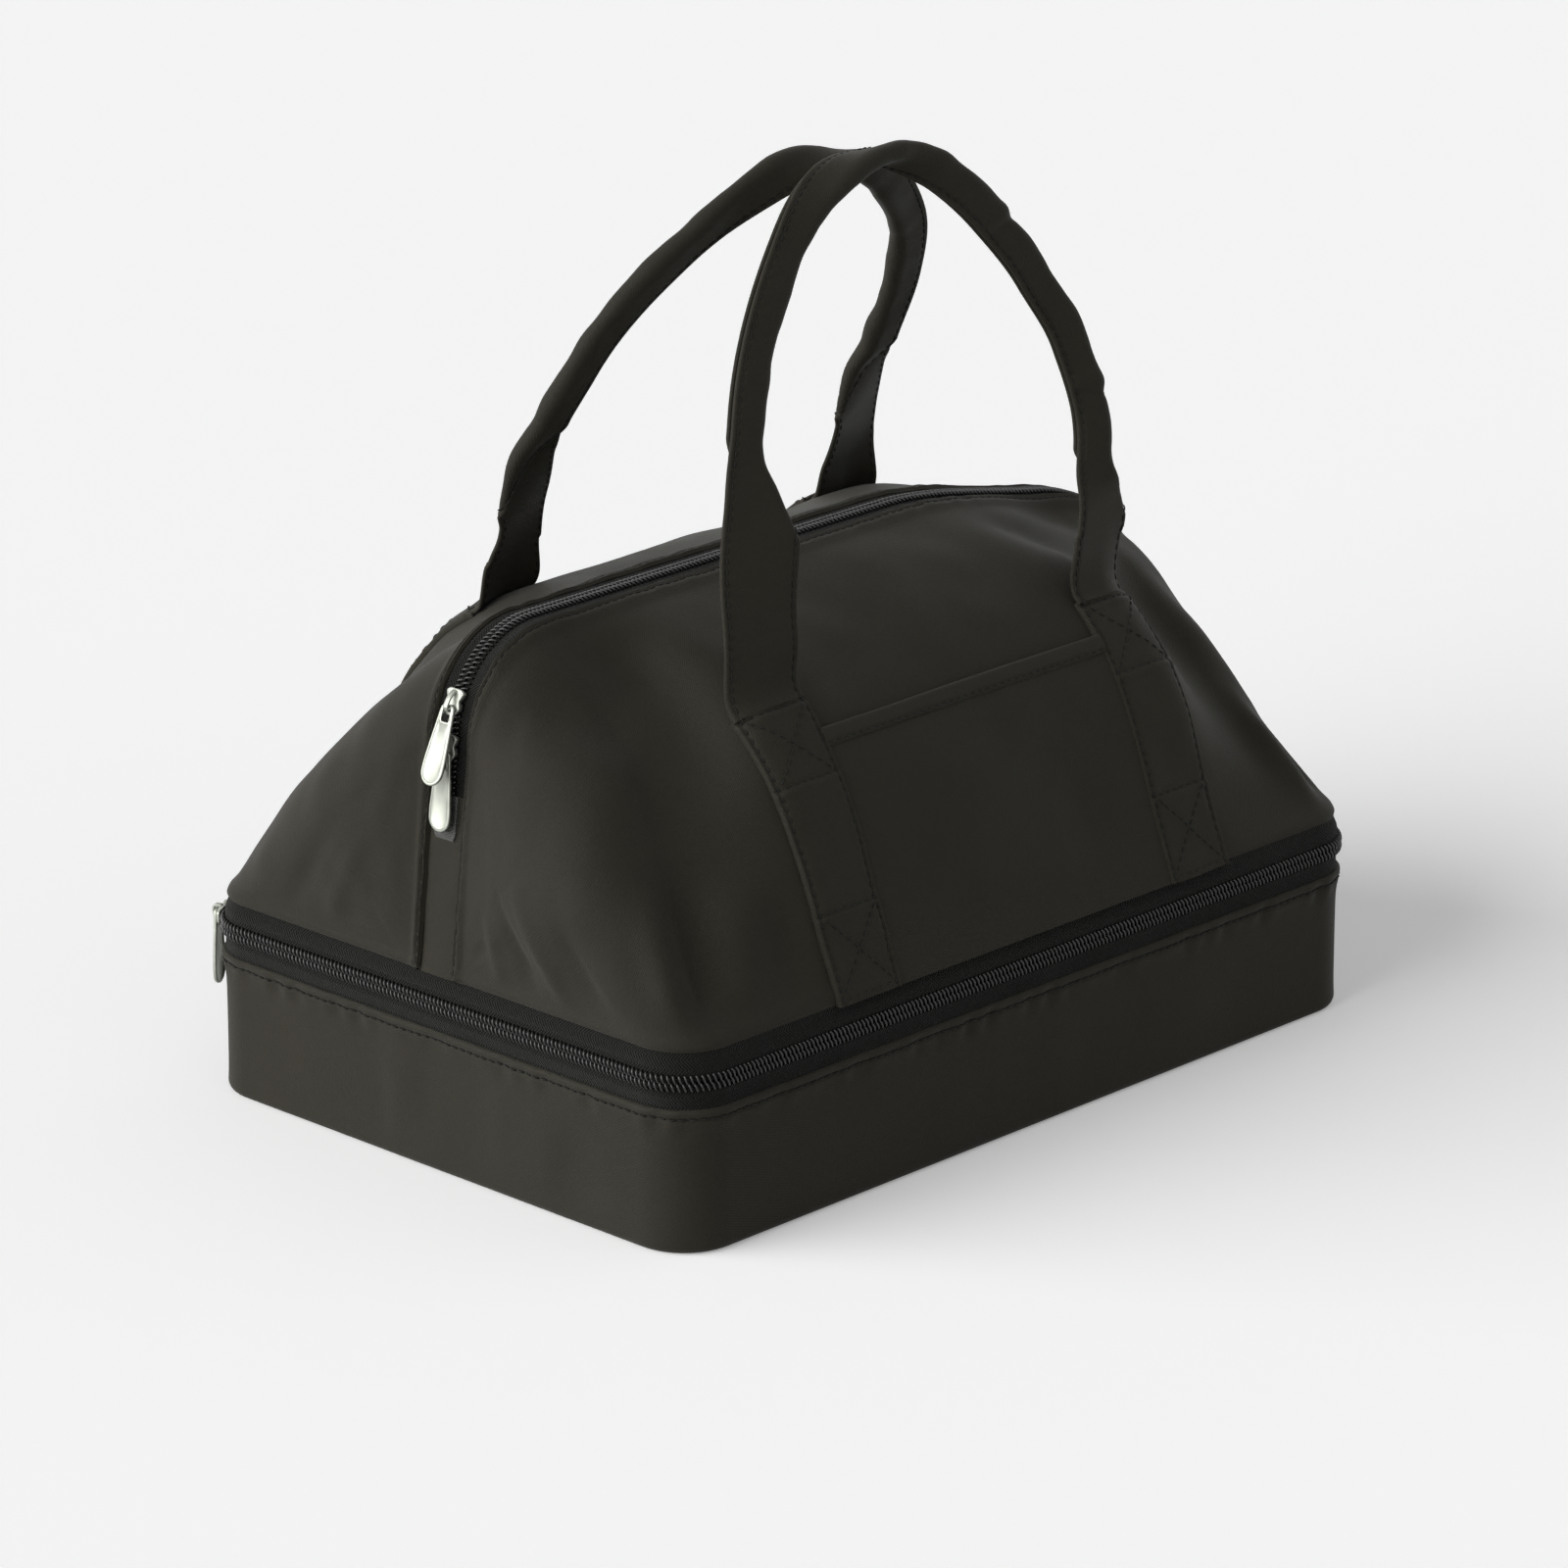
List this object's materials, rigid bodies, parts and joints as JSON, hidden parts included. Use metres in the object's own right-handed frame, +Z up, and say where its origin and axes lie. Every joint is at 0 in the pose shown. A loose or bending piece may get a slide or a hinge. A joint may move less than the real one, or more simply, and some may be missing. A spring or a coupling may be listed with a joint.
{
  "type": "casserole carrier",
  "caption": "Insulated two-deck casserole carrier: zipped tray for a hot dish with a hinged zip-top bag, front pocket and two loop handles.",
  "frame": {"origin": "middle of the tray's underside, on the surface it stands on", "axes": "+X to the right along the long side, +Y to the back where the bag is hinged, +Z up; the pocket faces -Y"},
  "size_m": [0.4442, 0.3082, 0.4269],
  "materials": {
    "shell_cloth": "coated charcoal cloth with a soft satin sheen",
    "strap_cloth": "charcoal cloth strap, edge stitched",
    "zip_tape": "matt woven herringbone tape",
    "end_tab_tape": "ribbed grey tape",
    "zip_coil": "smooth nylon coil",
    "zip_metal": "bright nickel plate",
    "lining": "wipe-clean grey lining, slightly crinkled",
    "foam": "matt insulating foam",
    "board": "stiffening board"
  },
  "bodies": {
    "tray": {"tray_floor_cloth": "shell_cloth", "tray_wall_cloth": "shell_cloth", "tray_wall_foam": "foam", "tray_wall_lining": "lining", "tray_floor_board": "board", "tray_floor_foam": "foam", "tray_floor_lining": "lining", "tray_zip_lower_tape": "zip_tape", "tray_zip_lower_coil": "zip_coil", "back_hinge_strip": "shell_cloth"},
    "bag": {"tray_zip_upper_tape": "zip_tape", "tray_zip_upper_coil": "zip_coil", "divider_lining": "lining", "divider_board": "board", "divider_under_cloth": "lining", "front_panel": "shell_cloth", "front_panel_foam": "foam", "front_panel_lining": "lining", "back_panel": "shell_cloth", "back_panel_foam": "foam", "back_panel_lining": "lining", "left_end_strip": "shell_cloth", "left_zip_end_tab": "end_tab_tape", "right_end_strip": "shell_cloth", "right_zip_end_tab": "end_tab_tape", "top_zip_front_tape": "zip_tape", "top_zip_front_coil": "zip_coil", "top_zip_back_tape": "zip_tape", "top_zip_back_coil": "zip_coil", "front_left_sewn_strap": "strap_cloth", "front_right_sewn_strap": "strap_cloth", "back_left_sewn_strap": "strap_cloth", "back_right_sewn_strap": "strap_cloth", "front_pocket": "shell_cloth", "front_pocket_hem": "shell_cloth"},
    "front_handle": {"front_handle": "strap_cloth"},
    "back_handle": {"back_handle": "strap_cloth"},
    "tray_slider": {"tray_slider": "zip_metal"},
    "tray_pull": {"tray_pull": "zip_metal"},
    "top_slider": {"top_slider": "zip_metal"},
    "top_pull": {"top_pull": "zip_metal"},
    "lower_top_slider": {"lower_top_slider": "zip_metal"},
    "lower_top_pull": {"lower_top_pull": "zip_metal"}
  },
  "joints": [
    {"name": "lid_hinge", "type": "hinge", "parent": "tray", "child": "bag", "pos_m": [0, 0.1525, 0.0905], "axis": [-1, 0, 0], "range_deg": [0, 110]},
    {"name": "front_handle_swing", "type": "hinge", "parent": "bag", "child": "front_handle", "pos_m": [0, -0.09271, 0.20956], "axis": [1, 0, 0], "range_deg": [0, 140]},
    {"name": "back_handle_swing", "type": "hinge", "parent": "bag", "child": "back_handle", "pos_m": [0, 0.07525, 0.22207], "axis": [-1, 0, 0], "range_deg": [0, 135]},
    {"name": "tray_slider_travel", "type": "hinge", "parent": "tray", "child": "tray_slider", "pos_m": [-0.193, 0.124, 0.078], "axis": [0, 0, 1], "range_deg": [0, 63]},
    {"name": "tray_pull_swing", "type": "hinge", "parent": "tray_slider", "child": "tray_pull", "pos_m": [-0.20735, 0.15216, 0.0802], "axis": [0.891, 0.454, 0], "range_deg": [0, 120]},
    {"name": "top_slider_travel", "type": "hinge", "parent": "bag", "child": "top_slider", "pos_m": [-0.161, 0, 0.195], "axis": [0, 1, 0], "range_deg": [0, 65]},
    {"name": "top_pull_swing", "type": "hinge", "parent": "top_slider", "child": "top_pull", "pos_m": [-0.20903, 0, 0.21108], "axis": [0, 1, 0], "range_deg": [0, 150]},
    {"name": "lower_slider_travel", "type": "slide", "parent": "bag", "child": "lower_top_slider", "axis": [-0.1146, 0, -0.9934], "range_m": [0, 0.013]},
    {"name": "lower_pull_swing", "type": "hinge", "parent": "lower_top_slider", "child": "lower_top_pull", "pos_m": [-0.21211, 0, 0.19086], "axis": [0, 1, 0], "range_deg": [0, 20]}
  ]
}
